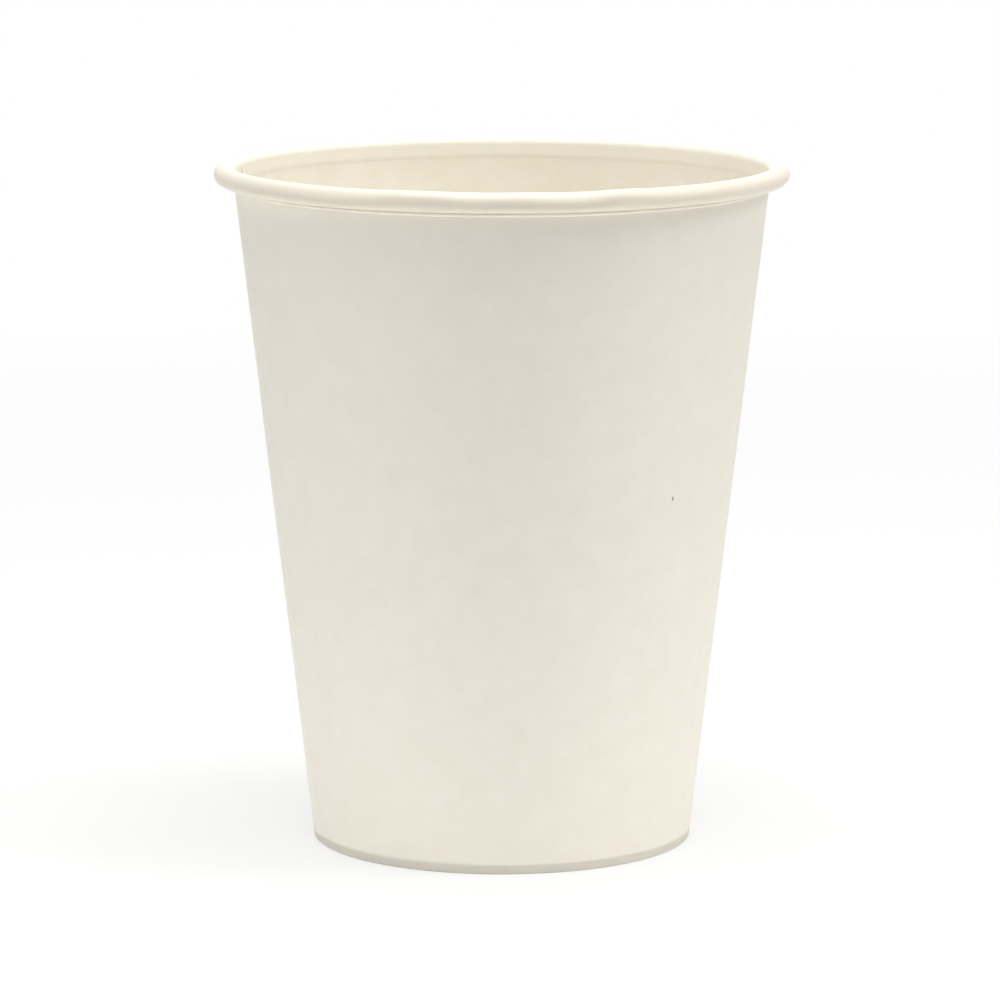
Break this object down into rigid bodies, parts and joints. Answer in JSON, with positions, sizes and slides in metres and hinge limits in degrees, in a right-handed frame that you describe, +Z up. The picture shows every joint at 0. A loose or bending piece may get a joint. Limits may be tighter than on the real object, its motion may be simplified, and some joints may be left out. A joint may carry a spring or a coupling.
{
  "type": "paper coffee cup",
  "caption": "Plain single-wall paper cup for hot drinks: tapered cream paperboard sidewall with a rolled rim, a lap seam and a recessed bottom gripped in a folded hem.",
  "frame": {"origin": "centre of the ring that the cup stands on, at the bottom of the hem", "axes": "+Z up along the cup's axis to the rim; -Y is the side that the cup is seen from; the lap seam is at 160 to 173 degrees round +Z from +X"},
  "size_m": [0.09, 0.09, 0.1072],
  "materials": {
    "wall_paperboard": "smooth uncoated outside, satin film inside",
    "bottom_paperboard": "satin film on the drink side, uncoated below"
  },
  "bodies": {
    "root": {"sidewall": "wall_paperboard", "bottom": "bottom_paperboard"}
  },
  "joints": []
}
